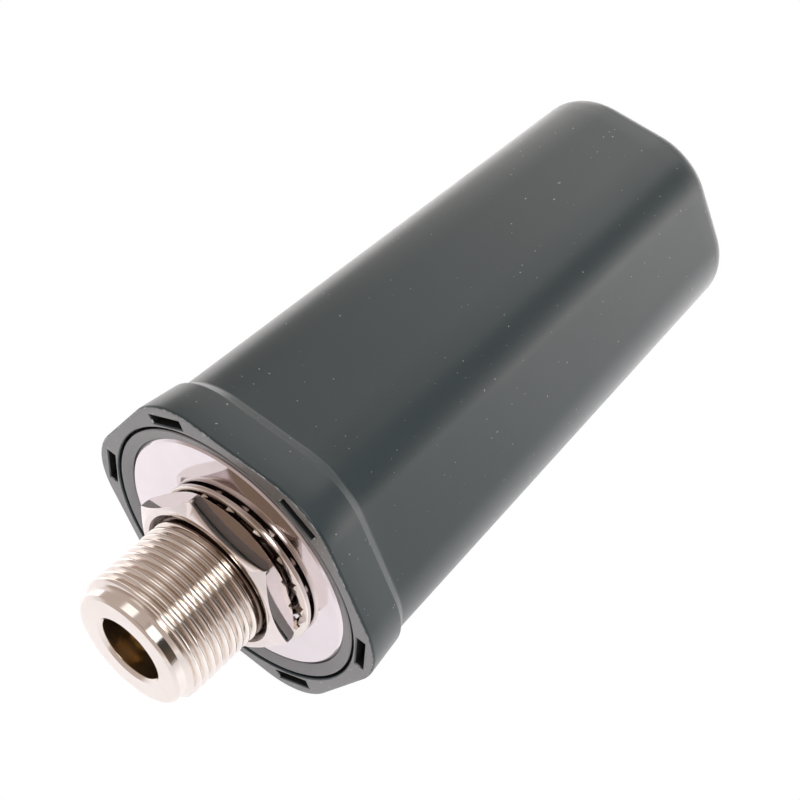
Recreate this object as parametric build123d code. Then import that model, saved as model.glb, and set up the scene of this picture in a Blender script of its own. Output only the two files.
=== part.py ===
"""Stubby outdoor antenna with a female coaxial connector.

Frame: millimetres, +Z along the antenna's axis towards the radome's tip, origin on the axis in the plane
of the radome's rim, which is the face that meets a panel. The connector points along -Z.
Two flats of the hexagonal radome face -Y and +Y, and two of its corners lie on the X axis.
"""
import os
from math import asin, atan2, cos, degrees, hypot, radians, sin, tan

from build123d import *

# Radome, outside: a rounded hexagon that narrows to the tip, with a flared skirt at the rim.
# Each inset is how far the flats move in, on one side, over a stretch of the height.
# The connector's thread is the one fixed size, and every size across the axis is built out from it.
RIM_CORNER_RADIUS = 9.8
RIM_CHAMFER = 0.3
SKIRT_HEIGHT = 5.2
SKIRT_INSET = 0.65
SKIRT_EDGE_CHAMFER = 0.25
BEVEL_HEIGHT = 1.0
BEVEL_INSET = 0.58
BODY_INSET = 2.63
BODY_CORNER_RADIUS = 9.1
RADOME_HEIGHT = 74.2
TIP_ROUND = 3.0
TIP_ROUND_STEPS = 6

# Radome, inside
RADOME_WALL = 2.2
TIP_WALL = 2.6
OPENING_WALL = 1.5
OPENING_DEPTH = 5.0
SLOT_LENGTH = 5.0
SLOT_WIDTH = 1.1
SLOT_DEPTH = 3.0
SLOT_INSET = 1.95
RAIL_THICKNESS = 1.2
RAIL_OVERLAP = 0.9
RAIL_FOOT = 15.0

# Base plate
PLATE_LAND = 6.75
PLATE_RECESS = 0.4
PLATE_EDGE_CHAMFER = 0.3
PLATE_FLANGE_THICKNESS = 2.0
PLATE_FLANGE_CLEARANCE = 0.15
PLATE_WEB = 2.4
GLUE_CHAMFER = 0.8

# Rubber ring round the plate's face
SEAL_WIDTH = 1.5
SEAL_GROOVE_GAP = 0.3
SEAL_FIT = 0.05
SEAL_SINK = 0.1
SEAL_EDGE_CHAMFER = 0.2

# Connector, to the interface of a female coaxial connector with a 5/8-24 UNEF thread
THREAD_RADIUS = 7.9375
THREAD_PITCH_RADIUS = 7.594
THREAD_LEAD_ANGLE = 45.0
CONNECTOR_REACH = 15.85
PILOT_RADIUS = 7.2
PILOT_LENGTH = 1.3
PILOT_CHAMFER = 0.35
SOCKET_RADIUS = 4.05
SOCKET_MOUTH_RADIUS = 4.45
SOCKET_DEPTH = 9.15
BEAD_LIP_RADIUS = 3.4
BEAD_LIP_THICKNESS = 0.8
BEAD_RADIUS = 4.6
BEAD_FIT = 0.02
PLATE_HOLE_CLEARANCE = 0.16
FLANGE_LIP = 2.5625
FLANGE_FLAT_DEPTH = 0.7
FLANGE_THICKNESS = 2.2
FLANGE_FIT = 0.1
BARREL_RADIUS = 6.0
BARREL_HEIGHT = 2.8
PRONG_HEIGHT = 3.2
PRONG_DEPTH = 1.3
PRONG_INSET = 4.2

# Parts inside the connector
CONTACT_RADIUS = 1.52
CONTACT_RECESS = 4.35
CONTACT_BORE_RADIUS = 0.83
CONTACT_BORE_DEPTH = 4.6
CONTACT_SLIT = 0.3
CONTACT_SLIT_DEPTH = 4.0
CONTACT_COLLAR_RADIUS = 2.2
CONTACT_COLLAR_LENGTH = 2.0
CONTACT_TIP_CHAMFER = 0.2
CONTACT_PIN_RADIUS = 0.65
CONTACT_PIN_OVERLAP = 3.0
BEAD_LENGTH = 5.0
BUSH_WALL = 0.9
BUSH_LENGTH = 1.2

# Flange O-ring, as compressed
O_RING_INSET = 1.6
O_RING_SECTION = 1.0
O_RING_FIT = 0.02
O_RING_GROOVE_WIDTH = 1.4

# Nut and lock washer
NUT_WALL = 1.5625
NUT_THICKNESS = 3.1
NUT_CHAMFER_ANGLE = 30.0
NUT_FACE_INSET = 0.15
NUT_COUNTERSINK = 0.7
NUT_TURN = 13.7
NUT_FIT = 0.02
STACK_HEIGHT = 1.22
WASHER_RIM_WIDTH = 1.15
WASHER_THICKNESS = 0.65
WASHER_TOOTH_LENGTH = 0.5
WASHER_SLACK = 0.0125
WASHER_TEETH = 16
WASHER_TOOTH_WIDTH = 2.0
WASHER_TOOTH_FIT = 0.01
WASHER_OFFSET = 0.9

# Circuit board, its holder and their fasteners
BOARD_THICKNESS = 1.6
BOARD_SIDE_CLEARANCE = 1.4
BOARD_LIFT = 0.3
BOARD_CLEARANCE = 0.15
NOTCH_CLEARANCE = 0.2
COPPER_THICKNESS = 0.1
COPPER_MARGIN = 1.2
GROUND_LENGTH = 14.0
GROUND_PAD_LENGTH = 9.0
GROUND_PAD_WIDTH = 6.0
FEED_WIDTH = 1.8
FEED_GAP = 0.6
FEED_LENGTH = 13.0
ARM_COUNT = 7
ARM_GAP_SHARE = 0.42
ARM_TIP_MARGIN = 7.1
CHIP_LENGTH = 1.6
CHIP_WIDTH = 0.8
CHIP_HEIGHT = 0.6
CHIP_SPACING = 2.2
SOLDER_HEIGHT = 0.7
SOLDER_MARGIN = 0.5

# Board holder, its screws and the foam pad
HOLDER_CLEARANCE = 2.45
HOLDER_THICKNESS = 2.0
HOLDER_BORE_CLEARANCE = 0.3
TOWER_HEIGHT = 7.5
TOWER_WIDTH = 4.0
TOWER_DEPTH = 5.6
SCREW_INSET = 2.5
SCREW_RADIUS = 1.25
SCREW_LENGTH = 5.2
SCREW_HEAD_RADIUS = 2.3
SCREW_HEAD_HEIGHT = 1.5
SCREW_HEAD_CHAMFER = 0.5
SCREW_CROSS_LENGTH = 2.4
SCREW_CROSS_WIDTH = 0.6
SCREW_CROSS_DEPTH = 0.8
SCREW_FIT = 0.02
SCREW_HOLE_CLEARANCE = 0.15
PAD_THICKNESS = 6.0
PAD_LENGTH = 16.0
PAD_DEPTH = 8.0
PAD_FIT = 0.05

# Heights along the axis, worked out from the sizes above
plate_face = PLATE_RECESS
plate_top = OPENING_DEPTH
flange_foot = plate_face + PLATE_WEB
plate_shoulder = plate_top - PLATE_FLANGE_THICKNESS
flange_top = flange_foot + FLANGE_THICKNESS
barrel_top = flange_top + BARREL_HEIGHT
connector_front = -CONNECTOR_REACH
socket_floor = connector_front + SOCKET_DEPTH
bead_seat = socket_floor + BEAD_LIP_THICKNESS
contact_tip = connector_front + CONTACT_RECESS
collar_foot = bead_seat + BEAD_LENGTH
collar_top = collar_foot + CONTACT_COLLAR_LENGTH
bead_top = collar_top + BEAD_LENGTH
bush_top = bead_top + BUSH_LENGTH
nut_top = plate_face - STACK_HEIGHT
nut_face = nut_top - NUT_THICKNESS
board_foot = barrel_top + BOARD_LIFT
pin_top = board_foot + CONTACT_PIN_OVERLAP
notch_top = pin_top + NOTCH_CLEARANCE
holder_top = plate_top + HOLDER_THICKNESS
tip_ceiling = RADOME_HEIGHT - TIP_WALL
board_tip = tip_ceiling - PAD_THICKNESS
arm_foot = notch_top + FEED_LENGTH
arm_pitch = (board_tip - ARM_TIP_MARGIN - arm_foot) / (ARM_COUNT - ARM_GAP_SHARE)
arm_width = arm_pitch * (1 - ARM_GAP_SHARE)

# Sizes across the axis, worked out from the sizes above
nut_flats = 2 * (THREAD_RADIUS + NUT_WALL)
nut_face_radius = nut_flats / 2 - NUT_FACE_INSET
washer_tooth_radius = THREAD_RADIUS + WASHER_OFFSET + WASHER_SLACK
washer_root_radius = washer_tooth_radius + WASHER_TOOTH_LENGTH
washer_radius = washer_root_radius + WASHER_RIM_WIDTH
flange_radius = THREAD_RADIUS + FLANGE_LIP
o_ring_radius = flange_radius - O_RING_INSET
opening_radius = flange_radius + PLATE_LAND
plate_flange_radius = opening_radius - PLATE_FLANGE_CLEARANCE
seal_outer = opening_radius - SEAL_GROOVE_GAP
seal_inner = seal_outer - SEAL_WIDTH
plate_face_radius = seal_inner - SEAL_FIT
holder_radius = opening_radius - HOLDER_CLEARANCE
screw_offset = holder_radius - SCREW_INSET
rim_flats = 2 * (opening_radius + OPENING_WALL)
skirt_top_flats = rim_flats - 2 * SKIRT_INSET
body_foot_flats = skirt_top_flats - 2 * BEVEL_INSET
body_tip_flats = body_foot_flats - 2 * BODY_INSET


def corner_reach(flats, corner_radius):
    """How far the corners of a rounded hexagon are from its centre."""
    return (flats / 2 - corner_radius) / cos(radians(30)) + corner_radius


def body_flats(height):
    """The radome's outer size across flats at a height above the bevel."""
    foot = SKIRT_HEIGHT + BEVEL_HEIGHT
    share = (height - foot) / (RADOME_HEIGHT - foot)
    return body_foot_flats + (body_tip_flats - body_foot_flats) * share


slot_radius = corner_reach(rim_flats, RIM_CORNER_RADIUS) - SLOT_INSET
cavity_radius = BODY_CORNER_RADIUS - RADOME_WALL
cavity_foot_flats = body_flats(OPENING_DEPTH) - 2 * RADOME_WALL
cavity_tip_flats = body_flats(tip_ceiling) - 2 * RADOME_WALL
board_width = 2 * (corner_reach(cavity_tip_flats, cavity_radius) - BOARD_SIDE_CLEARANCE)
rail_reach = board_width / 2 - RAIL_OVERLAP


def turned(*points):
    """A solid turned about Z from (radius, height) points."""
    return revolve(Plane.XZ * make_face(Polyline(*points, close=True)), Axis.Z)


def ring(inner, outer, foot, top):
    """A plain turned ring."""
    return turned((inner, foot), (outer, foot), (outer, top), (inner, top))


def disc(radius, foot, top):
    """A plain turned disc."""
    return turned((0, foot), (radius, foot), (radius, top), (0, top))


def block(length, depth, foot, top, x=0.0, y=0.0):
    """A box centred on (x, y), between two heights."""
    return Pos(x, y, (foot + top) / 2) * Box(length, depth, top - foot)


def hexagon(flats, corner_radius, height):
    """A rounded hexagon at a height, with corners on the X axis."""
    outline = RegularPolygon(flats / 2, 6, major_radius=False)
    return Pos(0, 0, height) * fillet(outline.vertices(), corner_radius)


def tip_section(turn):
    """The outline at a turn, in degrees, round the edge of the tip."""
    height = RADOME_HEIGHT - TIP_ROUND * (1 - sin(radians(turn)))
    inset = TIP_ROUND * (1 - cos(radians(turn)))
    return hexagon(body_flats(height) - 2 * inset, BODY_CORNER_RADIUS - inset, height)


def radome():
    """The moulded housing: skirt, bevel and tapered body, hollow, with board rails and six rim slots."""
    skirt_edge = SKIRT_HEIGHT - SKIRT_EDGE_CHAMFER
    edge_flats = skirt_top_flats - 2 * SKIRT_EDGE_CHAMFER * BEVEL_INSET / BEVEL_HEIGHT
    outlines = [
        hexagon(rim_flats - 2 * RIM_CHAMFER, RIM_CORNER_RADIUS - RIM_CHAMFER, 0),
        hexagon(rim_flats, RIM_CORNER_RADIUS, RIM_CHAMFER),
        hexagon(skirt_top_flats, BODY_CORNER_RADIUS, skirt_edge),
        hexagon(edge_flats, BODY_CORNER_RADIUS, SKIRT_HEIGHT + SKIRT_EDGE_CHAMFER / 2),
        hexagon(body_foot_flats, BODY_CORNER_RADIUS, SKIRT_HEIGHT + BEVEL_HEIGHT),
    ]
    outlines += [tip_section(90 * step / TIP_ROUND_STEPS) for step in range(TIP_ROUND_STEPS + 1)]
    shell = loft(outlines, ruled=True)
    cavity = loft([
        hexagon(cavity_foot_flats, cavity_radius, OPENING_DEPTH),
        hexagon(cavity_tip_flats, cavity_radius, tip_ceiling),
    ], ruled=True)
    shell = shell - cavity - disc(opening_radius, 0, OPENING_DEPTH)
    rail_offset = BOARD_THICKNESS / 2 + BOARD_CLEARANCE + RAIL_THICKNESS / 2
    reach = rim_flats / 2 - rail_reach
    for side_x in (-1, 1):
        for side_y in (-1, 1):
            bar = block(
                reach, RAIL_THICKNESS, RAIL_FOOT, tip_ceiling,
                side_x * (rail_reach + reach / 2), side_y * rail_offset,
            )
            shell = shell + (bar & cavity)
    slot = block(SLOT_WIDTH, SLOT_LENGTH, 0, SLOT_DEPTH, slot_radius)
    for corner in range(6):
        shell = shell - Rot(0, 0, 60 * corner) * slot
    return shell


def plate_pocket(clearance, foot, top):
    """The round with two flats shared by the connector's flange and the plate's pocket."""
    size = 2 * (flange_radius + clearance)
    flats = 2 * (flange_radius - FLANGE_FLAT_DEPTH + clearance)
    return disc(flange_radius + clearance, foot, top) & block(size, flats, foot, top)


def base_plate():
    """The turned plate: a face proud of the flange, a pocket for the connector and two tapped holes."""
    plate = turned(
        (0, plate_face), (plate_face_radius - PLATE_EDGE_CHAMFER, plate_face),
        (plate_face_radius, plate_face + PLATE_EDGE_CHAMFER), (plate_face_radius, plate_shoulder),
        (plate_flange_radius, plate_shoulder), (plate_flange_radius, plate_top - GLUE_CHAMFER),
        (plate_flange_radius - GLUE_CHAMFER, plate_top), (0, plate_top),
    )
    plate = plate - plate_pocket(FLANGE_FIT, flange_foot, plate_top)
    plate = plate - disc(THREAD_RADIUS + PLATE_HOLE_CLEARANCE, plate_face, flange_foot)
    depth = SCREW_LENGTH - HOLDER_THICKNESS + 2 * SCREW_FIT
    for side in (-1, 1):
        hole = disc(SCREW_RADIUS + SCREW_FIT, plate_top - depth, plate_top)
        plate = plate - Pos(0, side * screw_offset, 0) * hole
    return plate


def face_seal():
    """The rubber ring between plate and radome, sloped from the rim down to the plate's edge."""
    return turned(
        (seal_inner, plate_face + SEAL_SINK), (seal_outer - SEAL_EDGE_CHAMFER, 0),
        (seal_outer, SEAL_EDGE_CHAMFER), (seal_outer, plate_shoulder), (seal_inner, plate_shoulder),
    )


def adhesive_bead():
    """The cured bead in the corner between the plate's chamfer and the radome."""
    foot = plate_top - GLUE_CHAMFER
    return turned(
        (plate_flange_radius - GLUE_CHAMFER, plate_top), (plate_flange_radius, foot),
        (opening_radius, foot), (opening_radius, plate_top),
    )


def connector_body():
    """The turned shell: pilot, thread at its major size, flange, barrel and prongs.

    Under the nut the thread is drawn at its pitch size, which is where the two threads meet.
    """
    mouth = SOCKET_MOUTH_RADIUS - SOCKET_RADIUS
    pilot_top = connector_front + PILOT_LENGTH
    thread_start = pilot_top + (THREAD_RADIUS - PILOT_RADIUS) * tan(radians(THREAD_LEAD_ANGLE))
    shell = turned(
        (SOCKET_MOUTH_RADIUS, connector_front), (PILOT_RADIUS - PILOT_CHAMFER, connector_front),
        (PILOT_RADIUS, connector_front + PILOT_CHAMFER), (PILOT_RADIUS, pilot_top),
        (THREAD_RADIUS, thread_start), (THREAD_RADIUS, nut_face),
        (THREAD_PITCH_RADIUS, nut_face), (THREAD_PITCH_RADIUS, nut_top), (THREAD_RADIUS, nut_top),
        (THREAD_RADIUS, flange_top), (BARREL_RADIUS, flange_top), (BARREL_RADIUS, barrel_top),
        (BEAD_RADIUS, barrel_top), (BEAD_RADIUS, bead_seat), (BEAD_LIP_RADIUS, bead_seat),
        (BEAD_LIP_RADIUS, socket_floor),
        (SOCKET_RADIUS, socket_floor), (SOCKET_RADIUS, connector_front + mouth),
    )
    flange = plate_pocket(0, flange_foot, flange_top) - disc(THREAD_RADIUS, flange_foot, flange_top)
    groove_depth = O_RING_SECTION + 2 * O_RING_FIT
    groove = ring(
        o_ring_radius - O_RING_GROOVE_WIDTH / 2, o_ring_radius + O_RING_GROOVE_WIDTH / 2,
        flange_foot, flange_foot + groove_depth,
    )
    shell = shell + (flange - groove)
    post = ring(BEAD_RADIUS, BARREL_RADIUS, barrel_top, barrel_top + PRONG_HEIGHT)
    copper_face = BOARD_THICKNESS / 2 + COPPER_THICKNESS
    width = BARREL_RADIUS - PRONG_INSET
    for side_x in (-1, 1):
        for side_y in (-1, 1):
            cutter = block(
                width, PRONG_DEPTH, barrel_top, barrel_top + PRONG_HEIGHT,
                side_x * (PRONG_INSET + width / 2), side_y * (copper_face + PRONG_DEPTH / 2),
            )
            shell = shell + (post & cutter)
    return shell


def centre_contact():
    """The turned and slit contact: socket at the front, collar between the beads, solder pin behind."""
    contact = turned(
        (CONTACT_BORE_RADIUS, contact_tip), (CONTACT_RADIUS - CONTACT_TIP_CHAMFER, contact_tip),
        (CONTACT_RADIUS, contact_tip + CONTACT_TIP_CHAMFER), (CONTACT_RADIUS, collar_foot),
        (CONTACT_COLLAR_RADIUS, collar_foot), (CONTACT_COLLAR_RADIUS, collar_top),
        (CONTACT_RADIUS, collar_top), (CONTACT_RADIUS, bush_top), (CONTACT_PIN_RADIUS, bush_top),
        (CONTACT_PIN_RADIUS, pin_top), (0, pin_top), (0, contact_tip + CONTACT_BORE_DEPTH),
        (CONTACT_BORE_RADIUS, contact_tip + CONTACT_BORE_DEPTH),
    )
    slit = block(2 * CONTACT_RADIUS, CONTACT_SLIT, contact_tip, contact_tip + CONTACT_SLIT_DEPTH)
    for turn in (45, 135):
        contact = contact - Rot(0, 0, turn) * slit
    return contact


def insulator(foot):
    """One of the two beads that hold the contact on the axis."""
    return ring(CONTACT_RADIUS + BEAD_FIT, BEAD_RADIUS - BEAD_FIT, foot, foot + BEAD_LENGTH)


def insulator_bush():
    """The pressed ring that keeps the beads in the shell."""
    return ring(BEAD_RADIUS - BUSH_WALL, BEAD_RADIUS - BEAD_FIT, bead_top, bush_top)


def flange_o_ring():
    """The sealing ring in the groove of the connector's flange, square in section."""
    foot = flange_foot + O_RING_FIT
    half = O_RING_SECTION / 2
    return ring(o_ring_radius - half, o_ring_radius + half, foot, foot + O_RING_SECTION)


def hex_nut():
    """The hexagon nut, chamfered on both faces, with a countersunk bore at the thread's pitch size."""
    corner_radius = nut_flats / 2 / cos(radians(30))
    drop = (corner_radius - nut_face_radius) * tan(radians(NUT_CHAMFER_ANGLE))
    bore = THREAD_PITCH_RADIUS + NUT_FIT
    mouth = THREAD_RADIUS + NUT_COUNTERSINK
    blank = turned(
        (mouth, nut_face), (nut_face_radius, nut_face), (corner_radius, nut_face + drop),
        (corner_radius, nut_top - drop), (nut_face_radius, nut_top), (mouth, nut_top),
        (bore, nut_top - (mouth - bore)), (bore, nut_face + (mouth - bore)),
    )
    prism = extrude(RegularPolygon(nut_flats / 2, 6, major_radius=False), NUT_THICKNESS)
    return Rot(0, 0, NUT_TURN) * (blank & (Pos(0, 0, nut_face) * prism))


def lock_washer():
    """The internal-tooth washer: a flat rim held off plate and nut by twisted teeth, off the axis."""
    middle = (plate_face + nut_top) / 2
    half = WASHER_THICKNESS / 2
    rim = ring(washer_root_radius, washer_radius, middle - half, middle + half)
    root = washer_root_radius + WASHER_THICKNESS / 2
    length = root - washer_tooth_radius
    lift = STACK_HEIGHT / 2 - WASHER_TOOTH_FIT
    half_width = WASHER_TOOTH_WIDTH / 2
    twist = degrees(asin(lift / hypot(half_width, half)) - atan2(half, half_width))
    tooth = Pos(washer_tooth_radius + length / 2, 0, middle) * (
        Rot(twist, 0, 0) * Box(length, WASHER_TOOTH_WIDTH, WASHER_THICKNESS)
    )
    for index in range(WASHER_TEETH):
        rim = rim + Rot(0, 0, index * 360 / WASHER_TEETH) * tooth
    return Pos(WASHER_OFFSET, 0, 0) * rim


def radiator_board():
    """The circuit board, standing on edge, notched at its foot for the contact's pin."""
    board = block(board_width, BOARD_THICKNESS, board_foot, board_tip)
    notch = 2 * (CONTACT_PIN_RADIUS + NOTCH_CLEARANCE)
    return board - block(notch, BOARD_THICKNESS, board_foot, notch_top)


def front_copper(width, foot, top, x=0.0):
    """A strip of copper on the board's front."""
    middle = -(BOARD_THICKNESS + COPPER_THICKNESS) / 2
    return block(width, COPPER_THICKNESS, foot, top, x, middle)


def radiator_foil():
    """The feed line and the folded radiator on the board's front."""
    foil = front_copper(FEED_WIDTH, notch_top, notch_top + FEED_LENGTH)
    width = board_width - 2 * COPPER_MARGIN - 2 * BOARD_CLEARANCE
    for index in range(ARM_COUNT):
        foot = arm_foot + index * arm_pitch
        foil = foil + front_copper(width, foot, foot + arm_width)
        if index < ARM_COUNT - 1:
            side = 1 if index % 2 else -1
            link_x = side * (width - arm_width) / 2
            foil = foil + front_copper(arm_width, foot + arm_width, foot + arm_pitch, link_x)
    return foil


def ground_foil():
    """The ground copper: the board's back, and two pads beside the feed on its front."""
    width = board_width - 2 * COPPER_MARGIN
    back_y = (BOARD_THICKNESS + COPPER_THICKNESS) / 2
    notch = 2 * (CONTACT_PIN_RADIUS + 2 * NOTCH_CLEARANCE)
    back = block(width, COPPER_THICKNESS, board_foot, board_foot + GROUND_LENGTH, 0, back_y)
    back = back - block(notch, BOARD_THICKNESS, board_foot, notch_top + NOTCH_CLEARANCE, 0, back_y)
    pad_x = FEED_WIDTH / 2 + FEED_GAP + GROUND_PAD_WIDTH / 2
    pad_top = board_foot + GROUND_PAD_LENGTH
    pads = [front_copper(GROUND_PAD_WIDTH, board_foot, pad_top, side * pad_x) for side in (-1, 1)]
    return Compound(children=[*back.solids(), *pads])


def matching_chips():
    """Three chip components between the feed line and the ground pads."""
    face = -(BOARD_THICKNESS / 2 + COPPER_THICKNESS + CHIP_HEIGHT / 2)
    first = notch_top + SOLDER_MARGIN + CHIP_WIDTH + SOLDER_HEIGHT
    bridge = (FEED_WIDTH + FEED_GAP) / 2
    chips = []
    for index in range(3):
        side = 1 if index % 2 else -1
        foot = first + index * CHIP_SPACING / 2
        chips.append(block(CHIP_LENGTH, CHIP_HEIGHT, foot, foot + CHIP_WIDTH, side * bridge, face))
    return Compound(children=chips)


def pin_solder():
    """The joint that fills the notch round the pin and laps onto the feed line."""
    half_board = BOARD_THICKNESS / 2
    notch = 2 * (CONTACT_PIN_RADIUS + NOTCH_CLEARANCE)
    front = -(half_board + COPPER_THICKNESS)
    fill = block(notch, half_board + COPPER_THICKNESS, board_foot + SOLDER_MARGIN, notch_top, 0, front / 2)
    cap_top = notch_top + SOLDER_MARGIN
    cap = block(FEED_WIDTH, SOLDER_HEIGHT, board_foot + SOLDER_MARGIN, cap_top, 0, front - SOLDER_HEIGHT / 2)
    cap = chamfer(cap.faces().sort_by(Axis.Y)[0].edges(), SOLDER_HEIGHT / 2)
    pin = disc(CONTACT_PIN_RADIUS, bush_top, pin_top)
    return fill + cap - pin


def ground_solder():
    """The four joints between the shell's prongs and the ground copper."""
    copper_face = BOARD_THICKNESS / 2 + COPPER_THICKNESS
    top = barrel_top + PRONG_HEIGHT
    width = BARREL_RADIUS - PRONG_INSET - SOLDER_HEIGHT
    joints = []
    for side_x in (-1, 1):
        for side_y in (-1, 1):
            joint = block(
                width, SOLDER_HEIGHT, top, top + SOLDER_HEIGHT,
                side_x * (PRONG_INSET + SOLDER_HEIGHT + width / 2),
                side_y * (copper_face + SOLDER_HEIGHT / 2),
            )
            joints.append(joint)
    return Compound(children=joints)


def board_holder():
    """The moulded foot: a disc round the connector's barrel with two forked towers for the board."""
    holder = disc(holder_radius, plate_top, holder_top)
    tower_x = board_width / 2 - TOWER_WIDTH / 2
    for side in (-1, 1):
        tower = block(TOWER_WIDTH, TOWER_DEPTH, plate_top, holder_top + TOWER_HEIGHT, side * tower_x)
        holder = holder + tower
        post = disc(SCREW_RADIUS + SCREW_HOLE_CLEARANCE, plate_top, holder_top)
        holder = holder - Pos(0, side * screw_offset, 0) * post
    slot = BOARD_THICKNESS + 2 * BOARD_CLEARANCE
    holder = holder - block(board_width + TOWER_WIDTH, slot, board_foot, holder_top + TOWER_HEIGHT)
    return holder - disc(BARREL_RADIUS + HOLDER_BORE_CLEARANCE, plate_top, holder_top)


def holder_screws():
    """The two pan-head screws that hold the foot to the plate."""
    foot = holder_top - SCREW_LENGTH
    head_top = holder_top + SCREW_HEAD_HEIGHT
    screw = turned(
        (0, foot), (SCREW_RADIUS, foot), (SCREW_RADIUS, holder_top),
        (SCREW_HEAD_RADIUS, holder_top), (SCREW_HEAD_RADIUS, head_top - SCREW_HEAD_CHAMFER),
        (SCREW_HEAD_RADIUS - SCREW_HEAD_CHAMFER, head_top), (0, head_top),
    )
    for turn in (0, 90):
        cross = block(SCREW_CROSS_LENGTH, SCREW_CROSS_WIDTH, head_top - SCREW_CROSS_DEPTH, head_top)
        screw = screw - Rot(0, 0, turn) * cross
    return Compound(children=[Pos(0, side * screw_offset, 0) * screw for side in (-1, 1)])


def tip_pad():
    """The foam pad that holds the board's end against the radome's tip."""
    return block(PAD_LENGTH, PAD_DEPTH, board_tip + PAD_FIT, tip_ceiling - PAD_FIT)


PIECES = {
    "radome": radome,
    "base_plate": base_plate,
    "face_seal": face_seal,
    "adhesive_bead": adhesive_bead,
    "connector_body": connector_body,
    "hex_nut": hex_nut,
    "lock_washer": lock_washer,
    "centre_contact": centre_contact,
    "front_insulator": lambda: insulator(bead_seat),
    "rear_insulator": lambda: insulator(collar_top),
    "insulator_bush": insulator_bush,
    "flange_o_ring": flange_o_ring,
    "radiator_board": radiator_board,
    "radiator_foil": radiator_foil,
    "ground_foil": ground_foil,
    "matching_chips": matching_chips,
    "pin_solder": pin_solder,
    "ground_solder": ground_solder,
    "board_holder": board_holder,
    "holder_screws": holder_screws,
    "tip_pad": tip_pad,
}

os.makedirs("parts", exist_ok=True)
for name, make in PIECES.items():
    export_step(make(), os.path.join("parts", name + ".step"))
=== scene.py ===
"""Looks of the stubby antenna: detailed pieces, procedural materials, soft studio light and the camera."""
import math

import bmesh
import bpy
from mathutils import Matrix, Vector


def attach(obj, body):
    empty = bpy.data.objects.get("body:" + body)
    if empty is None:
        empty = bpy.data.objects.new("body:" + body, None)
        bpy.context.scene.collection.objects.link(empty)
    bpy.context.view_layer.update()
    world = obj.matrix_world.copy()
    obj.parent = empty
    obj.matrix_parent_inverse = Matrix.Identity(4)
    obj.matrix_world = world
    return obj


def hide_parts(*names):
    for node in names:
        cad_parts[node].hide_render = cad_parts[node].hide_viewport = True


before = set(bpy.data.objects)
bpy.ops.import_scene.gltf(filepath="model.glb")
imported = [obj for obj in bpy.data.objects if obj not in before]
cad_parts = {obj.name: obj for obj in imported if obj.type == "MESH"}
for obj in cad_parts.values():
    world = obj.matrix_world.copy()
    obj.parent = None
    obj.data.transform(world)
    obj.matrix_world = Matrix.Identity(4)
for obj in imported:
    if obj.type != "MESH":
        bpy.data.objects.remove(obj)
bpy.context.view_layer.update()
MM = 0.001

# Sizes that the pieces share with the solids, in millimetres

FRONT_Z = -15.85
PILOT_R, PILOT_TOP = 7.2, -14.55
THREAD_R, ROOT_R, PITCH = 7.9375, 7.29, 25.4 / 24
MOUTH_R, BORE_R, BORE_END = 4.45, 4.05, -6.7
BARREL_FOOT = 2.8
NUT_FACE, NUT_TOP = -3.92, -0.82
NUT_FLATS, NUT_FACE_R, NUT_MOUTH_R, NUT_BORE_R, NUT_TURN = 19.0, 9.35, 8.6375, 7.614, 13.7
RIM_FLATS, SKIRT_FLATS, BODY_FLATS, TIP_FLATS = 37.5, 36.2, 35.04, 29.78
RIM_CORNER, BODY_CORNER, RIM_EDGE, TIP_ROUND = 9.8, 9.1, 0.3, 3.0
SKIRT_TOP, BODY_FOOT, RADOME_TOP, OPENING_TOP, CEILING = 5.2, 6.2, 74.2, 5.0, 71.6
OPENING_R, WALL = 17.25, 2.2
SLOT_R, SLOT_LENGTH, SLOT_WIDTH, SLOT_DEPTH = 18.185, 5.0, 1.1, 3.0
RAIL_X, RAIL_Y, RAIL_WIDTH, RAIL_THICKNESS, RAIL_FOOT = 11.4, 1.55, 2.0, 1.2, 15.0
SEAL_INNER, SEAL_OUTER, SEAL_FOOT, SEAL_TOP = 15.45, 16.95, 0.5, 3.0
WASHER_OFFSET, WASHER_MIDDLE, WASHER_THICKNESS = 0.9, -0.21, 0.65
TOOTH_R, TOOTH_ROOT_R, WASHER_R, TOOTH_WIDTH, TOOTH_TWIST, TEETH = 8.85, 9.35, 10.5, 2.0, 16.79, 16

# Sizes that only the looks need, in millimetres unless a name says otherwise

MOUTH_CHAMFER, PILOT_CHAMFER, THREAD_LAP = 0.4, 0.3, 0.02
CREST_END, ROOT_START, CREST_CROWN, FLANK_ROUNDING = 0.42, 0.97, 0.06, 0.75
NUT_SLOPE_DEGREES, NUT_EDGE_ROUND, NUT_EDGE_DEGREES = 30, 0.07, 18
SKIN_STEP, STEP_ROUND_FOOT, STEP_ROUND_TOP = 2, 0.3, 0.9
OPENING_EDGE, SLOT_FLARE = 0.12, 0.12
FRONT_ROUNDS, SEAL_ROUNDS = (0.1, 0.06, 0.12, 0.12), (0.12, 0.22, 0.05)
# Foot, top and inset of the band of painted highlight along the rim's edge (the foot also bounds the rim
# face), then how far down the rim face looks.
HIGHLIGHT_FOOT, HIGHLIGHT_TOP, HIGHLIGHT_INSET, FACING_DOWN = 0.02, 0.07, 0.5, -0.9
ZONE_MARGIN, SLOT_MARGIN, SLOT_SHADE_REACH, NUT_SHADE_REACH = 0.02, 0.01, 0.1, 0.3
SKIN_SHARP_DEGREES, WASHER_SHARP_DEGREES = 28, 35
SIXTH = math.pi / 3


# Mesh helpers

def raw_mesh(name, verts, faces):
    """A mesh from points in millimetres."""
    mesh = bpy.data.meshes.new(name)
    mesh.from_pydata([Vector(v) * MM for v in verts], [], faces)
    return mesh


def linked(name, mesh):
    """An object of a mesh, linked to the scene."""
    made = bpy.data.objects.new(name, mesh)
    bpy.context.scene.collection.objects.link(made)
    return made


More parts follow.
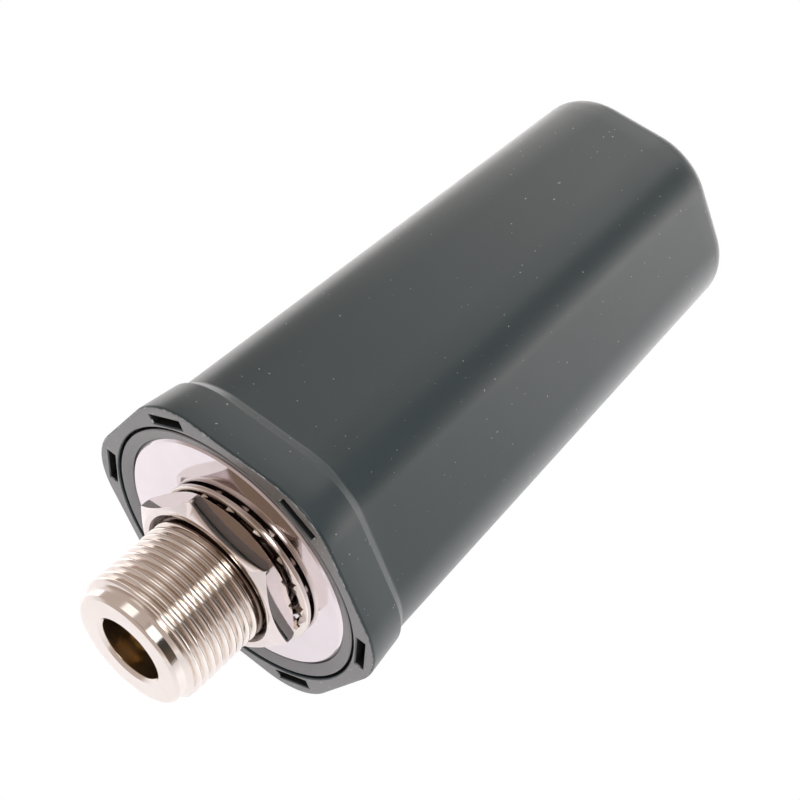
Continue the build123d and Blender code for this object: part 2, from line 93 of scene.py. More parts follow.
def plain_mesh(name, verts, faces):
    """An object from points in millimetres, with its seams closed and its normals outward."""
    mesh = raw_mesh(name, verts, faces)
    bm = bmesh.new()
    bm.from_mesh(mesh)
    bmesh.ops.remove_doubles(bm, verts=bm.verts, dist=1e-7)
    bmesh.ops.recalc_face_normals(bm, faces=bm.faces)
    bm.to_mesh(mesh)
    bm.free()
    return linked(name, mesh)


def add_piece(name, verts, faces, slot, replaced=()):
    """A new smooth piece that rides on the antenna, from points in millimetres."""
    piece = plain_mesh(name, verts, faces)
    for polygon in piece.data.polygons:
        polygon.use_smooth = True
    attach(piece, "root")
    for node in replaced:
        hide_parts(node)
    return piece


def ring_faces(columns, rows, close):
    """Faces between neighbouring columns of points, round to the first column again."""
    faces = []
    last = rows if close else rows - 1
    for column in range(columns):
        here, there = column * rows, (column + 1) % columns * rows
        for row in range(last):
            nxt = (row + 1) % rows
            faces.append((here + row, there + row, there + nxt, here + nxt))
    return faces


def lathe(profile, count=192):
    """Points and faces of a surface turned about Z from (radius, height) points."""
    verts = []
    for column in range(count):
        a = 2 * math.pi * column / count
        verts += [(r * math.cos(a), r * math.sin(a), z) for r, z in profile]
    return verts, ring_faces(count, len(profile), close=False)


def rounded(points, radii, steps=5):
    """A profile whose inner points get small arcs of the given radii."""
    out = [points[0]]
    for before, here, after, radius in zip(points, points[1:], points[2:], radii):
        a, b, c = Vector(before), Vector(here), Vector(after)
        u, v = (a - b).normalized(), (c - b).normalized()
        half = u.angle(v) / 2
        reach = radius / math.tan(half)
        centre = b + (u + v).normalized() * (radius / math.sin(half))
        start, end = b + u * reach - centre, b + v * reach - centre
        sweep = start.angle_signed(end)
        for step in range(steps + 1):
            turn = Matrix.Rotation(-sweep * step / steps, 2)
            out.append(tuple(centre + turn @ start))
    return out + [points[-1]]


def box(length, depth, height, place):
    """Points and faces of a box round its middle, moved by a matrix."""
    corners = [(x, y, z) for x in (-0.5, 0.5) for y in (-0.5, 0.5) for z in (-0.5, 0.5)]
    verts = [tuple(place @ Vector((x * length, y * depth, z * height))) for x, y, z in corners]
    return verts, [(0, 1, 3, 2), (4, 6, 7, 5), (0, 4, 5, 1), (2, 3, 7, 6), (0, 2, 6, 4), (1, 5, 7, 3)]


def joined(*parts):
    """Several lists of points and faces as one."""
    verts, faces = [], []
    for part_verts, part_faces in parts:
        offset = len(verts)
        verts += part_verts
        faces += [tuple(index + offset for index in face) for face in part_faces]
    return verts, faces


# Camera at the photograph's viewing angle

CAMERA_RIGHT = Vector((0.768526, -0.061292, 0.636877))
CAMERA_UP = Vector((-0.526878, -0.625362, 0.575606))
CAMERA_BACK = Vector((0.362999, -0.777924, -0.5129))
CAMERA_PLACE = (0.076129, -0.164084, -0.079078)
LENS_MM, SENSOR_MM, NEAREST = 81.35, 36, 0.01

camera = bpy.data.objects.new("camera", bpy.data.cameras.new("camera"))
bpy.context.scene.collection.objects.link(camera)
bpy.context.scene.camera = camera
camera_turn = Matrix((CAMERA_RIGHT, CAMERA_UP, CAMERA_BACK)).transposed().to_4x4()
camera.matrix_world = Matrix.Translation(CAMERA_PLACE) @ camera_turn
camera.data.lens = LENS_MM
camera.data.sensor_width = SENSOR_MM
camera.data.clip_start = NEAREST

# Connector shell: turned front, then the thread as one helical surface

front = rounded(
    [
        (BORE_R, BORE_END),
        (BORE_R, FRONT_Z + MOUTH_CHAMFER),
        (MOUTH_R, FRONT_Z),
        (PILOT_R - PILOT_CHAMFER, FRONT_Z),
        (PILOT_R, FRONT_Z + PILOT_CHAMFER),
        (PILOT_R, PILOT_TOP + THREAD_LAP),
    ],
    FRONT_ROUNDS,
)


def thread_radius(z, turn):
    """The thread's radius at a height and a share of a turn: crest, sloped flank, root and the lead-in."""
    phase = (z / PITCH - turn) % 1.0
    off = abs(phase - 0.5) * 2
    share = min(max((off - CREST_END) / (ROOT_START - CREST_END), 0), 1)
    share = share * share * (3 - 2 * share) * FLANK_ROUNDING + share * (1 - FLANK_ROUNDING)
    crown = CREST_CROWN * min(off / CREST_END, 1) ** 2
    lead = PILOT_R + (z - PILOT_TOP)
    return min(THREAD_R - crown + (ROOT_R + crown - THREAD_R) * share, max(lead, PILOT_R))


def thread_surface(foot, top, columns=216, per_turn=20):
    """The helical surface between two heights, its rows along the helix."""
    rows = int((top - foot) / PITCH * per_turn) + per_turn + 2
    verts, faces = [], []
    for column in range(columns + 1):
        share = column / columns
        a = 2 * math.pi * share
        for row in range(rows):
            z = foot + ((row / per_turn) - 1 + share) * PITCH
            z = min(max(z, foot), top)
            r = thread_radius(z, share)
            verts.append((r * math.cos(a), r * math.sin(a), z))
    for column in range(columns):
        here, there = column * rows, (column + 1) * rows
        for row in range(rows - 1):
            faces.append((here + row, there + row, there + row + 1, here + row + 1))
    return verts, faces


shell_form = joined(lathe(front, 256), thread_surface(PILOT_TOP, BARREL_FOOT))
shell = add_piece("connector_shell", *shell_form, "nickel_shell")

# The rest of the shell, behind the thread and in the deep bore, keeps the solid's own faces

REAR_LAP, BORE_LAP, BORE_REACH = 0.05, 0.01, 7.0


def covered(face):
    """Whether the shell piece covers a face of the solid."""
    middle = face.calc_center_median() / MM
    ahead = middle.z < BARREL_FOOT - REAR_LAP
    outside = math.hypot(*middle.xy) > BORE_REACH
    return ahead and (outside or middle.z <= BORE_END - BORE_LAP)


rear_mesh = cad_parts["connector_body"].data.copy()
bm = bmesh.new()
bm.from_mesh(rear_mesh)
bmesh.ops.delete(bm, geom=[face for face in bm.faces if covered(face)], context="FACES")
bm.to_mesh(rear_mesh)
bm.free()
rear = linked("connector_rear", rear_mesh)
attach(rear, "root")
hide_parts("connector_body")

# Nut: chamfered on both faces, so each flat ends in two curves


def nut_mesh(columns=30):
    """The nut's outside and its countersunk bore, with columns at every corner and flat's middle."""
    slope = math.tan(math.radians(NUT_SLOPE_DEGREES))
    apothem = NUT_FLATS / 2
    total = 6 * columns
    mouth = NUT_MOUTH_R - NUT_BORE_R
    verts = []
    for column in range(total):
        a = 2 * math.pi * column / total
        reach = apothem / math.cos(a % SIXTH - SIXTH / 2)
        drop = max((reach - NUT_FACE_R) * slope, 0.0)
        ring = [
            (NUT_BORE_R, NUT_TOP - mouth),
            (NUT_BORE_R, NUT_FACE + mouth),
            (NUT_MOUTH_R, NUT_FACE),
            (NUT_FACE_R, NUT_FACE),
            (reach, NUT_FACE + drop),
            (reach, NUT_TOP - drop),
            (NUT_FACE_R, NUT_TOP),
            (NUT_MOUTH_R, NUT_TOP),
        ]
        turn = a + math.radians(NUT_TURN)
        verts += [(r * math.cos(turn), r * math.sin(turn), z) for r, z in ring]
    return verts, ring_faces(total, len(verts) // total, close=True)


nut = add_piece("nut", *nut_mesh(), "nickel_nut", ["hex_nut"])
bevel = nut.modifiers.new("bevel", "BEVEL")
bevel.width = NUT_EDGE_ROUND * MM
bevel.segments = 3
bevel.limit_method = "ANGLE"
bevel.angle_limit = math.radians(NUT_EDGE_DEGREES)
bevel.harden_normals = False
weighted = nut.modifiers.new("weighted", "WEIGHTED_NORMAL")
weighted.keep_sharp = False

# Radome: one smooth closed skin, inside and out, with the six slots cut through its rim


def outline_radius(turn, half, corner):
    """How far a rounded hexagon with corners on X reaches at a turn in radians."""
    off = abs((turn + SIXTH / 2) % SIXTH - SIXTH / 2)
    centre = (half - corner) / math.cos(SIXTH / 2)
    if off < math.atan2(corner / 2, centre + corner * math.cos(SIXTH / 2)):
        return centre * math.cos(off) + math.sqrt(corner ** 2 - (centre * math.sin(off)) ** 2)
    return half / math.cos(SIXTH / 2 - off)


def sharp_half(z):
    """Half the radome's size across flats at a height, without its edge rounds."""
    knots = ((0, RIM_FLATS), (SKIRT_TOP, SKIRT_FLATS), (BODY_FOOT, BODY_FLATS), (RADOME_TOP, TIP_FLATS))
    for (z0, f0), (z1, f1) in zip(knots, knots[1:]):
        if z <= z1 + 1e-6:
            return (f0 + (f1 - f0) * (z - z0) / (z1 - z0)) / 2
    return TIP_FLATS / 2


def filled_in(profile):
    """A profile with points added, so that neighbours lie less than two skin steps apart in height."""
    out = [profile[0]]
    for here in profile[1:]:
        before = out[-1]
        steps = max(int(abs(here[1] - before[1]) / SKIN_STEP), 1)
        for step in range(1, steps + 1):
            share = step / steps
            out.append(tuple(a + (b - a) * share for a, b in zip(before, here)))
    return out


def skin_rows():
    """The radome's rows from the middle of its tip, over the outside, and back through the inside."""
    rim_inside, tip_inside, tip_middle, least_corner = 0.6, 10, 5, 0.3
    side = rounded(
        [
            (RIM_FLATS / 2 - rim_inside, 0),
            (RIM_FLATS / 2, 0),
            (SKIRT_FLATS / 2, SKIRT_TOP),
            (BODY_FLATS / 2, BODY_FOOT),
            (TIP_FLATS / 2, RADOME_TOP),
            (tip_inside, RADOME_TOP),
        ],
        [RIM_EDGE, STEP_ROUND_FOOT, STEP_ROUND_TOP, TIP_ROUND],
        steps=8,
    )
    rows = []
    for half, z in [(0, RADOME_TOP), (tip_middle, RADOME_TOP)] + filled_in(side)[::-1]:
        blend = RIM_CORNER + (BODY_CORNER - RIM_CORNER) * min(z / SKIRT_TOP, 1)
        corner = blend - (sharp_half(z) - half)
        rows.append(("hexagon", half, max(corner, least_corner * half), z))
    rows.append(("circle", OPENING_R + OPENING_EDGE, 0, 0))
    rows.append(("circle", OPENING_R, 0, OPENING_EDGE))
    rows.append(("circle", OPENING_R, 0, OPENING_TOP))
    foot = sharp_half(BODY_FOOT) - WALL
    slope = (BODY_FLATS - TIP_FLATS) / 2 / (RADOME_TOP - BODY_FOOT)
    inside_heights = (OPENING_TOP, 20, 40, CEILING)
    for z in inside_heights:
        rows.append(("hexagon", foot - slope * (z - BODY_FOOT), BODY_CORNER - WALL, z))
    return rows + [("hexagon", 0, 0, CEILING)]


def radome_form(count=288):
    """Points and faces of the radome before its slots are cut."""
    rows = skin_rows()
    verts, faces = [], []
    for column in range(count):
        a = 2 * math.pi * column / count
        for kind, half, corner, z in rows:
            r = half if kind == "circle" or half == 0 else outline_radius(a, half, corner)
            verts.append((r * math.cos(a), r * math.sin(a), z))
    return verts, ring_faces(count, len(rows), close=False)


def slot_cutter():
    """Six flared blocks, one at each corner of the rim."""
    below = -0.5
    blocks = []
    for index in range(6):
        turn = Matrix.Rotation(math.radians(60 * index), 4, "Z")
        verts, faces = [], []
        for z, grow in ((below, SLOT_FLARE), (0, SLOT_FLARE), (SLOT_FLARE, 0), (SLOT_DEPTH, 0)):
            for x, y in ((-1, -1), (1, -1), (1, 1), (-1, 1)):
                point = Vector((SLOT_R + x * (SLOT_WIDTH / 2 + grow), y * (SLOT_LENGTH / 2 + grow), z))
                verts.append(tuple(turn @ point))
        for level in range(3):
            for side in range(4):
                a, b = level * 4 + side, level * 4 + (side + 1) % 4
                faces.append((a, b, b + 4, a + 4))
        faces += [(3, 2, 1, 0), (12, 13, 14, 15)]
        blocks.append((verts, faces))
    return joined(*blocks)


def board_rails():
    """The four rails that guide the board, two at each side of the cavity."""
    rails = []
    for side_x in (-1, 1):
        for side_y in (-1, 1):
            middle = (side_x * (RAIL_X + RAIL_WIDTH / 2), side_y * RAIL_Y, (CEILING + RAIL_FOOT) / 2)
            rails.append(box(RAIL_WIDTH, RAIL_THICKNESS, CEILING - RAIL_FOOT, Matrix.Translation(middle)))
    return joined(*rails)


blank, cutter = plain_mesh("blank", *radome_form()), plain_mesh("cutter", *slot_cutter())
cut = blank.modifiers.new("slots", "BOOLEAN")
cut.operation, cut.object, cut.solver = "DIFFERENCE", cutter, "EXACT"
bpy.context.view_layer.update()
skin_mesh = bpy.data.meshes.new_from_object(blank.evaluated_get(bpy.context.evaluated_depsgraph_get()))
for spare in (blank, cutter):
    bpy.data.objects.remove(spare)
bm = bmesh.new()
bm.from_mesh(skin_mesh)
bm.from_mesh(raw_mesh("rails", *board_rails()))
bm.to_mesh(skin_mesh)
bm.free()
skin = linked("radome_skin", skin_mesh)
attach(skin, "root")
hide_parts("radome")
for polygon in skin_mesh.polygons:
    polygon.use_smooth = True
skin_mesh.set_sharp_from_angle(angle=math.radians(SKIN_SHARP_DEGREES))

# Seal, sloped from the rim down to the plate's edge, and the washer with its twisted teeth

seal_profile = rounded(
    [
        (SEAL_INNER, SEAL_TOP),
        (SEAL_INNER, SEAL_FOOT),
        (SEAL_OUTER, 0),
        (SEAL_OUTER, SEAL_TOP),
        (SEAL_INNER, SEAL_TOP),
    ],
    SEAL_ROUNDS,
)
seal = add_piece("seal_ring", *lathe(seal_profile, 256), "seal_rubber", ["face_seal"])


def washer_mesh():
    """The washer's rounded rim and its teeth, moved off the connector's axis."""
    low, high = WASHER_MIDDLE - WASHER_THICKNESS / 2, WASHER_MIDDLE + WASHER_THICKNESS / 2
    seam, inner_round, outer_round = TOOTH_ROOT_R + 0.4, 0.06, 0.2
    rim = rounded(
        [
            (seam, high),
            (TOOTH_ROOT_R, high),
            (TOOTH_ROOT_R, low),
            (WASHER_R, low),
            (WASHER_R, high),
            (seam, high),
        ],
        [inner_round, inner_round, outer_round, outer_round],
    )
    length = TOOTH_ROOT_R + WASHER_THICKNESS / 2 - TOOTH_R
    parts = [lathe(rim)]
    for index in range(TEETH):
        place = (
            Matrix.Rotation(2 * math.pi * index / TEETH, 4, "Z")
            @ Matrix.Translation((TOOTH_R + length / 2, 0, WASHER_MIDDLE))
            @ Matrix.Rotation(math.radians(TOOTH_TWIST), 4, "X")
        )
        parts.append(box(length, TOOTH_WIDTH, WASHER_THICKNESS, place))
    verts, faces = joined(*parts)
    return [(x + WASHER_OFFSET, y, z) for x, y, z in verts], faces


washer = add_piece("washer", *washer_mesh(), "nickel_washer", ["lock_washer"])
washer.data.set_sharp_from_angle(angle=math.radians(WASHER_SHARP_DEGREES))

# Node helpers


def material(name):
    """A fresh node material: its tree, its shader and its object coordinates."""
    made = bpy.data.materials.new(name)
    made.use_nodes = True
    tree = made.node_tree
    shader = tree.nodes["Principled BSDF"]
    place = tree.nodes.new("ShaderNodeTexCoord").outputs["Object"]
    return made, tree, shader, place


def noise(tree, place, scale, detail, rough=0.55):
    """A noise value in object space; scale is in features a metre."""
    node = tree.nodes.new("ShaderNodeTexNoise")
    node.inputs["Scale"].default_value = scale
    node.inputs["Detail"].default_value = detail
    node.inputs["Roughness"].default_value = rough
    tree.links.new(place, node.inputs["Vector"])
    return node.outputs["Fac"]


def spread(tree, value, low, high, from_low=0.3, from_high=0.7):
    """A value mapped from one range to another."""
    node = tree.nodes.new("ShaderNodeMapRange")
    for key, number in (("From Min", from_low), ("From Max", from_high), ("To Min", low), ("To Max", high)):
        node.inputs[key].default_value = number
    tree.links.new(value, node.inputs["Value"])
    return node.outputs["Result"]


def added(tree, first, second):
    """The sum of two values."""
    node = tree.nodes.new("ShaderNodeMath")
    tree.links.new(first, node.inputs[0])
    tree.links.new(second, node.inputs[1])
    return node.outputs["Value"]


def ramp(tree, value, stops):
    """A colour ramp over (position, colour) stops."""
    node = tree.nodes.new("ShaderNodeValToRGB")
    elements = node.color_ramp.elements
    elements[0].position, elements[1].position = stops[0][0], stops[-1][0]
    elements[0].color, elements[1].color = (*stops[0][1], 1), (*stops[-1][1], 1)
    for position, colour in stops[1:-1]:
        elements.new(position).color = (*colour, 1)
    tree.links.new(value, node.inputs["Fac"])
    return node.outputs["Color"]


def mixed(tree, share, first, second):
    """Two colours mixed by a share; each is a plain colour or a socket."""
    node = tree.nodes.new("ShaderNodeMix")
    node.data_type = "RGBA"
    tree.links.new(share, node.inputs["Factor"])
    for socket, colour in ((node.inputs[6], first), (node.inputs[7], second)):
        if isinstance(colour, tuple):
            socket.default_value = (*colour, 1)
        else:
            tree.links.new(colour, socket)
    return node.outputs[2]


def bump(tree, shader, heights):
    """Chains bumps of (height value, strength, distance in mm) into the shader's normal."""
    normal = None
    for height, strength, distance in heights:
        node = tree.nodes.new("ShaderNodeBump")
        node.inputs["Strength"].default_value = strength
        node.inputs["Distance"].default_value = distance * MM
        tree.links.new(height, node.inputs["Height"])
        if normal:
            tree.links.new(normal, node.inputs["Normal"])
        normal = node.outputs["Normal"]
    tree.links.new(normal, shader.inputs["Normal"])


# Materials

SPECK_COLOUR, SPECK_EDGE = (0.22, 0.23, 0.23), 0.03


def plastic(name, dark, light, rough, grain=2600, depth=0.02, ior=1.5, cloud=(60, 4, 0.1, 0.9), specks=None):
    """Moulded plastic with a fine grain, faint clouding, soft sheen and, where given, pale specks.

    cloud is the clouding's scale, detail and ramp ends; specks is the specks' scale and threshold.
    """
    made, tree, shader, place = material(name)
    scale, detail, first, last = cloud
    colour = ramp(tree, noise(tree, place, scale, detail), [(first, dark), (last, light)])
    if specks:
        speck_scale, threshold = specks
        peaks = noise(tree, place, speck_scale, 1, 0.5)
        mask = spread(tree, peaks, 0, 1, threshold, threshold + SPECK_EDGE)
        colour = mixed(tree, mask, colour, SPECK_COLOUR)
    tree.links.new(colour, shader.inputs["Base Color"])
    tree.links.new(spread(tree, noise(tree, place, 180, 4), *rough, 0.1, 0.9), shader.inputs["Roughness"])
    shader.inputs["IOR"].default_value = ior
    grains, waves = noise(tree, place, grain, 3), noise(tree, place, 320, 1)
    bump(tree, shader, [(grains, 0.35, depth), (waves, 0.14, 0.02)])
    return made


def metal(name, dark, light, rough, depth=0.0012):
    """Plated metal with faint clouding, fine marks and a near mirror gloss."""
    made, tree, shader, place = material(name)
    shader.inputs["Metallic"].default_value = 1.0
    cloud = noise(tree, place, 140, 4)
    tree.links.new(ramp(tree, cloud, [(0.3, dark), (0.7, light)]), shader.inputs["Base Color"])
    tree.links.new(spread(tree, noise(tree, place, 420, 5), *rough), shader.inputs["Roughness"])
    marks, waves = noise(tree, place, 1500, 4), noise(tree, place, 130, 2)
    bump(tree, shader, [(marks, 0.5, depth), (waves, 0.3, 0.004)])
    return made


satin = plastic(
    "satin_charcoal", (0.0165, 0.027, 0.0305), (0.02, 0.0315, 0.0355), (0.285, 0.34),
    grain=3200, depth=0.012, specks=(2400, 0.765),
)
# The rim's down-facing end face: a rougher grain, and a lighter colour that is partly painted light from
# below.
sanded_with_painted_light = plastic(
    "sanded_rim_with_painted_light", (0.022, 0.024, 0.025), (0.05, 0.053, 0.054), (0.285, 0.37),
    grain=2200, ior=2.4, specks=(2600, 0.7),
)
# Pale broken band along the rim's outer edge: a painted highlight.
painted_edge_highlight = plastic(
    "painted_rim_highlight", (0.02, 0.028, 0.03), (0.4, 0.4, 0.4), (0.35, 0.5),
    grain=2200, cloud=(1600, 3, 0.46, 0.66),
)
# Near-black plastic inside the rim's slots: painted shade.
slot_painted_shade = plastic("slot_shade", (0.004, 0.004, 0.005), (0.006, 0.006, 0.007), (0.6, 0.8))
seal_black = plastic(
    "seal_rubber", (0.008, 0.007, 0.009), (0.016, 0.014, 0.017), (0.285, 0.36),
    grain=1800, depth=0.012, ior=2.6,
)
white_bead = plastic("white_bead", (0.72, 0.71, 0.68), (0.8, 0.79, 0.76), (0.4, 0.5))
copper = metal("bare_copper", (0.75, 0.36, 0.2), (0.86, 0.45, 0.28), (0.2, 0.35))
solder = metal("set_solder", (0.55, 0.55, 0.56), (0.68, 0.68, 0.69), (0.2, 0.35))
washer_metal = metal("bright_washer", (0.74, 0.69, 0.64), (0.84, 0.79, 0.75), (0.12, 0.2), 0.0008)
shell_metal = metal("turned_nickel", (0.82, 0.765, 0.715), (0.88, 0.83, 0.79), (0.1, 0.17), 0.0008)
bore_metal = metal("gilt_bore", (0.68, 0.58, 0.48), (0.8, 0.68, 0.5), (0.13, 0.2), 0.0008)
nut_metal = metal("nut_nickel", (0.75, 0.69, 0.67), (0.81, 0.75, 0.73), (0.04, 0.08))
# Darker metal that is painted shade: the nut's bore, the thread under the nut and the washer's teeth.
painted_shade_metal = metal("painted_shade_nickel", (0.16, 0.12, 0.1), (0.26, 0.2, 0.17), (0.2, 0.3), 0.0008)

node_looks = {
    "radome": satin,
    "base_plate": metal("bright_plate", (0.74, 0.695, 0.72), (0.79, 0.745, 0.77), (0.06, 0.11)),
    "face_seal": seal_black,
    "adhesive_bead": plastic("cured_adhesive", (0.02, 0.02, 0.02), (0.03, 0.03, 0.03), (0.2, 0.3), 900),
    "centre_contact": metal("gold_plate", (0.83, 0.56, 0.2), (0.92, 0.66, 0.28), (0.12, 0.2)),
    "front_insulator": white_bead,
    "rear_insulator": white_bead,
    "insulator_bush": white_bead,
    "flange_o_ring": plastic("black_ring", (0.012, 0.012, 0.012), (0.02, 0.02, 0.02), (0.5, 0.6)),
    "lock_washer": washer_metal,
    "radiator_board": plastic("green_laminate", (0.015, 0.09, 0.035), (0.02, 0.12, 0.045), (0.3, 0.4)),
    "radiator_foil": copper,
    "ground_foil": copper,
    "matching_chips": plastic("fired_ceramic", (0.2, 0.13, 0.08), (0.27, 0.18, 0.11), (0.4, 0.5)),
    "pin_solder": solder,
    "ground_solder": solder,
    "board_holder": plastic("black_holder", (0.02, 0.02, 0.02), (0.03, 0.03, 0.03), (0.4, 0.55)),
    "holder_screws": metal("zinc_screw", (0.5, 0.51, 0.52), (0.62, 0.63, 0.65), (0.2, 0.32)),
    "tip_pad": plastic("closed_foam", (0.03, 0.03, 0.032), (0.05, 0.05, 0.052), (0.8, 0.95), 900, 0.12),
}
for node, look in node_looks.items():
    for material_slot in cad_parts[node].material_slots:
        material_slot.material = look


def shell_zone(polygon):
    """Bore, the thread under and just before the nut in painted shade, or the rest of the shell."""
    if math.hypot(*polygon.center.xy) < (BORE_R + ZONE_MARGIN) * MM:
        return 1
    return 2 if polygon.center.z > (NUT_FACE - NUT_SHADE_REACH) * MM else 0


def nut_zone(polygon):
    """The nut's bore and countersink in painted shade, or its outside."""
    return int(math.hypot(*polygon.center.xy) < (NUT_MOUTH_R - ZONE_MARGIN) * MM)


def washer_zone(polygon):
    """The washer's teeth in painted shade, or its rim."""
    off_axis = math.hypot(polygon.center.x - WASHER_OFFSET * MM, polygon.center.y)
    return int(off_axis < (TOOTH_ROOT_R + ZONE_MARGIN) * MM)


def skin_zone(polygon):
    """The radome's sanded rim face with partly painted light, its slots in painted shade, the painted
    highlight along its rim's outer edge, or the rest.
    """
    middle = polygon.center / MM
    corner = SIXTH * round(math.atan2(middle.y, middle.x) / SIXTH)
    inward = middle.x * math.cos(corner) + middle.y * math.sin(corner) - SLOT_R
    across = middle.y * math.cos(corner) - middle.x * math.sin(corner)
    in_width = abs(inward) < SLOT_WIDTH / 2 + SLOT_MARGIN
    in_length = abs(across) < SLOT_LENGTH / 2 + SLOT_MARGIN
    in_depth = SLOT_FLARE - SLOT_MARGIN < middle.z < SLOT_DEPTH + SLOT_SHADE_REACH
    if abs(middle.z) < HIGHLIGHT_FOOT and polygon.normal.z < FACING_DOWN:
        return 1
    if in_width and in_length and in_depth:
        return 2
    if HIGHLIGHT_FOOT < middle.z < HIGHLIGHT_TOP and math.hypot(middle.x, middle.y) > OPENING_R + HIGHLIGHT_INSET:
        return 3
    return 0


def dress(piece, materials, zone=None):
    """Gives a piece its materials, and each polygon the one that its zone names."""
    piece.data.materials.clear()
    for look in materials:
        piece.data.materials.append(look)
    if zone:
        for polygon in piece.data.polygons:
            polygon.material_index = zone(polygon)


dress(shell, [shell_metal, bore_metal, painted_shade_metal], shell_zone)
dress(rear, [shell_metal])
dress(nut, [nut_metal, painted_shade_metal], nut_zone)
dress(seal, [seal_black])
dress(washer, [washer_metal, painted_shade_metal], washer_zone)
dress(skin, [satin, sanded_with_painted_light, slot_painted_shade, painted_edge_highlight], skin_zone)

# Pale floor, hidden from reflections

FLOOR_Z, FLOOR_REACH = -0.14, 3

floor_mesh = bpy.data.meshes.new("floor")
floor_mesh.from_pydata(
    [(x * FLOOR_REACH, y * FLOOR_REACH, FLOOR_Z) for x, y in ((-1, -1), (1, -1), (1, 1), (-1, 1))],
    [], [(0, 1, 2, 3)],
)
floor = linked("floor", floor_mesh)
floor.visible_glossy = False
floor_look, tree, shader, place = material("pale_floor")
floor_cloud = ramp(tree, noise(tree, place, 6, 3), [(0.3, (0.8, 0.8, 0.8)), (0.7, (0.84, 0.84, 0.84))])
tree.links.new(floor_cloud, shader.inputs["Base Color"])
shader.inputs["Roughness"].default_value = 0.7
floor_mesh.materials.append(floor_look)

# White card behind the antenna, seen only in reflections; it glows as painted light, brighter toward the tip
# and darker toward +X as painted shade

CARD_Y, CARD_HALF_WIDTH, CARD_FOOT, CARD_TOP = 0.0189, 0.25, -0.13, 0.25
CARD_FALL, CARD_FALL_START, CARD_FALL_END = -0.273, 0.04, 0.25
CARD_DARK_Z, CARD_BRIGHT_Z, CARD_CLOUDING = -0.06, 0.09, 0.02

card_mesh = bpy.data.meshes.new("table_card")
card_mesh.from_pydata(
    [
        (-CARD_HALF_WIDTH, CARD_Y, CARD_FOOT),
        (CARD_HALF_WIDTH, CARD_Y, CARD_FOOT),
        (CARD_HALF_WIDTH, CARD_Y, CARD_TOP),
        (-CARD_HALF_WIDTH, CARD_Y, CARD_TOP),
    ],
    [], [(0, 1, 2, 3)],
)
card = linked("table_card", card_mesh)
card.visible_camera = card.visible_diffuse = card.visible_shadow = False
card_look, tree, shader, place = material("white_card")
split = tree.nodes.new("ShaderNodeSeparateXYZ")
tree.links.new(place, split.inputs["Vector"])
card_fall = spread(tree, split.outputs["X"], 0, CARD_FALL, CARD_FALL_START, CARD_FALL_END)
card_level = added(tree, split.outputs["Z"], card_fall)
card_share = added(
    tree,
    spread(tree, card_level, 0, 1, CARD_DARK_Z, CARD_BRIGHT_Z),
    spread(tree, noise(tree, place, 8, 3), -CARD_CLOUDING, CARD_CLOUDING),
)
card_colour = ramp(
    tree, card_share,
    [(0, (0.4, 0.39, 0.4)), (0.33, (0.53, 0.52, 0.535)), (0.5, (0.67, 0.66, 0.67)), (1, (1.0, 0.99, 1.0))],
)
# The card glows by this colour: painted light, with painted shade toward +X and toward the bottom.
for socket in ("Base Color", "Emission Color"):
    tree.links.new(card_colour, shader.inputs[socket])
shader.inputs["Emission Strength"].default_value = 1.0
card_mesh.materials.append(card_look)

# Soft room light: patches of the sky as (direction, cosine at the edge, cosine where it is full, colour)

ROOM_COLOUR = (0.54, 0.45, 0.41)
SKY_PATCHES = [
    ((0.88, -0.38, 0.37), 0.8, 0.95, (0.12, 0.09, 0.07)),
    ((0.62, -0.63, 0.46), 0.84, 0.97, (0.05, 0.045, 0.04)),
    ((0.39, -0.82, -0.42), 0.7, 0.95, (0.26, 0.19, 0.14)),
    ((0, 0, 1), 0.52, 0.82, (3.1, 2.98, 2.86)),
    ((0.55, -0.5, 0.67), 0.945, 0.985, (0.5, 0.48, 0.47)),
    ((-0.39, -0.87, 0.3), 0.965, 0.985, (1.3, 1.25, 1.2)),
    ((0, 0, 1), 0.76, 0.9, (1.2, 1.15, 1.1)),
    ((0.74, 0.1, 0.69), 0.96, 0.995, (4.2, 3.9, 3.7)),
    ((0, 1, 0), -0.08, 0.45, (1.85, 1.82, 1.84)),
    ((0.22, 0.66, 0.72), 0.9, 0.99, (3.2, 3.15, 3.15)),
]

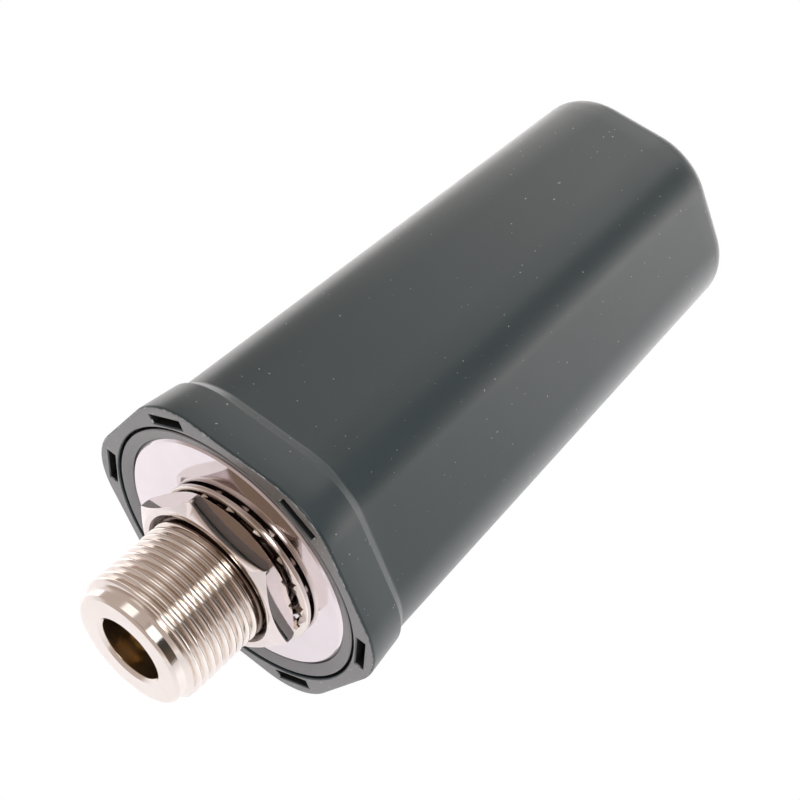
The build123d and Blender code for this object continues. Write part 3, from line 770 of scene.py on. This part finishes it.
world = bpy.data.worlds.new("white_room")
bpy.context.scene.world = world
world.use_nodes = True
tree = world.node_tree
tree.nodes.clear()
direction = tree.nodes.new("ShaderNodeTexCoord").outputs["Generated"]


def toward(point, low, high):
    """How near the ray's direction is to a point on the sky: 0 below the low cosine, 1 above the high."""
    dot = tree.nodes.new("ShaderNodeVectorMath")
    dot.operation = "DOT_PRODUCT"
    tree.links.new(direction, dot.inputs[0])
    dot.inputs[1].default_value = Vector(point).normalized()
    share = tree.nodes.new("ShaderNodeMapRange")
    share.interpolation_type = "SMOOTHSTEP"
    share.inputs["From Min"].default_value = low
    share.inputs["From Max"].default_value = high
    tree.links.new(dot.outputs["Value"], share.inputs["Value"])
    return share.outputs["Result"]


sky = ROOM_COLOUR
for point, low, high, colour in SKY_PATCHES:
    sky = mixed(tree, toward(point, low, high), sky, colour)
room = tree.nodes.new("ShaderNodeBackground")
tree.links.new(sky, room.inputs["Color"])
room.inputs["Strength"].default_value = 1.0
white = tree.nodes.new("ShaderNodeBackground")
white.inputs["Color"].default_value = (1, 1, 1, 1)
mix = tree.nodes.new("ShaderNodeMixShader")
path = tree.nodes.new("ShaderNodeLightPath")
tree.links.new(path.outputs["Is Camera Ray"], mix.inputs["Fac"])
tree.links.new(room.outputs["Background"], mix.inputs[1])
tree.links.new(white.outputs["Background"], mix.inputs[2])
output = tree.nodes.new("ShaderNodeOutputWorld")
tree.links.new(mix.outputs["Shader"], output.inputs["Surface"])


def lamp(name, place, size, power):
    """A soft rectangular lamp aimed at the origin."""
    data = bpy.data.lights.new(name, "AREA")
    data.shape = "RECTANGLE"
    data.size, data.size_y = size
    data.energy = power
    light = bpy.data.objects.new(name, data)
    bpy.context.scene.collection.objects.link(light)
    light.location = place
    light.rotation_euler = (-Vector(place)).to_track_quat("-Z", "Y").to_euler()


lamp("tall_box", (0.165, -0.255, 0.0), (0.14, 0.28), 0.16)
lamp("front", (0.12, -0.2, -0.07), (0.05, 0.05), 0.06)

bpy.context.scene.view_settings.view_transform = "Standard"
